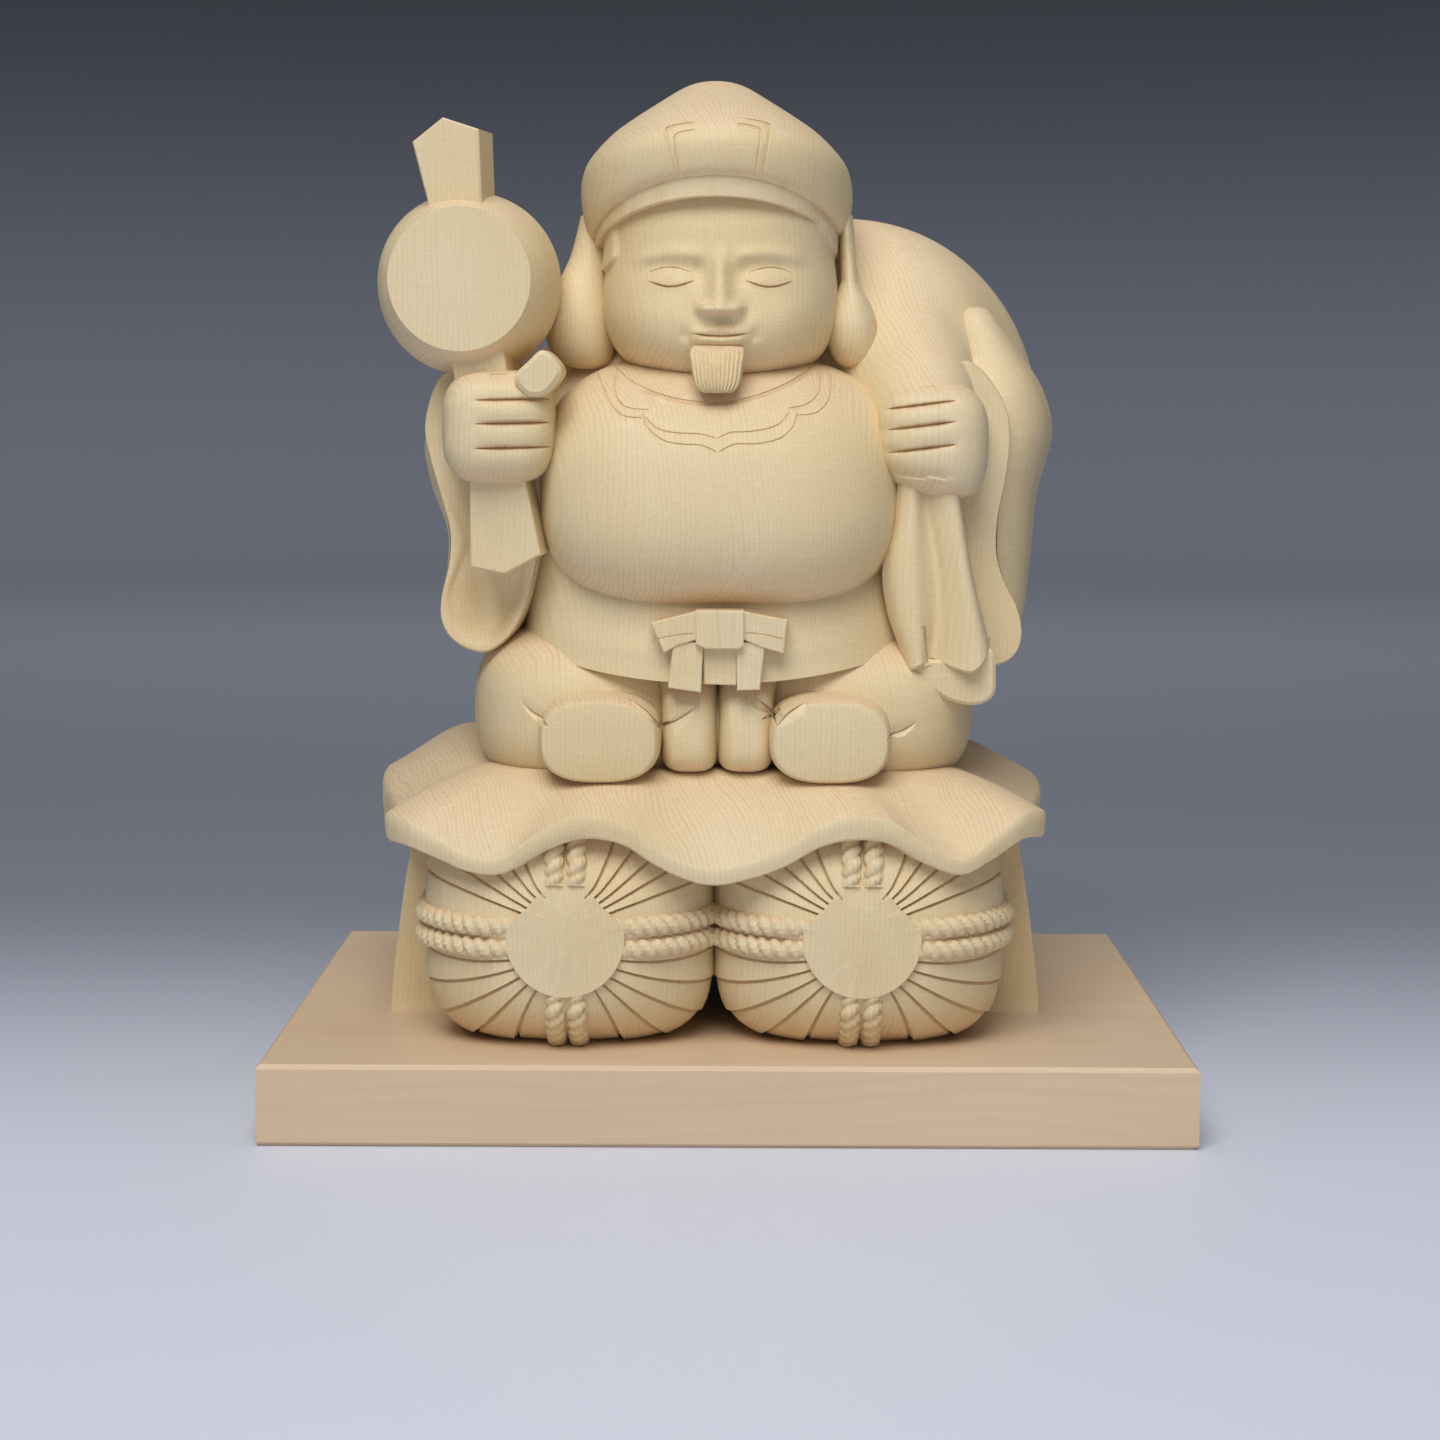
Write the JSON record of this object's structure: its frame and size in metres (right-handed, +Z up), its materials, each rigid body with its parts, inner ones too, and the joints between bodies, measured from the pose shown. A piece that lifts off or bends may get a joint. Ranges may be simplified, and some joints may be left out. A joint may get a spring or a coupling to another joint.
{
  "type": "carved wooden figure",
  "caption": "Carved wooden figure of a standing lucky god with mallet and sack on cloth-covered rice bales, on a plain rectangular plinth board.",
  "frame": {"origin": "middle of the plinth's underside", "axes": "+Z up through the figure, +X to the viewer's right, +Y to the figure's back"},
  "size_m": [0.17, 0.13, 0.1946],
  "materials": {
    "carving_wood": "pale fine-grained softwood, cut clean and left unpainted, satin",
    "plinth_wood": "smooth light tan hardwood board, satin"
  },
  "bodies": {
    "root": {"figure": "carving_wood", "plinth": "plinth_wood"}
  },
  "joints": []
}
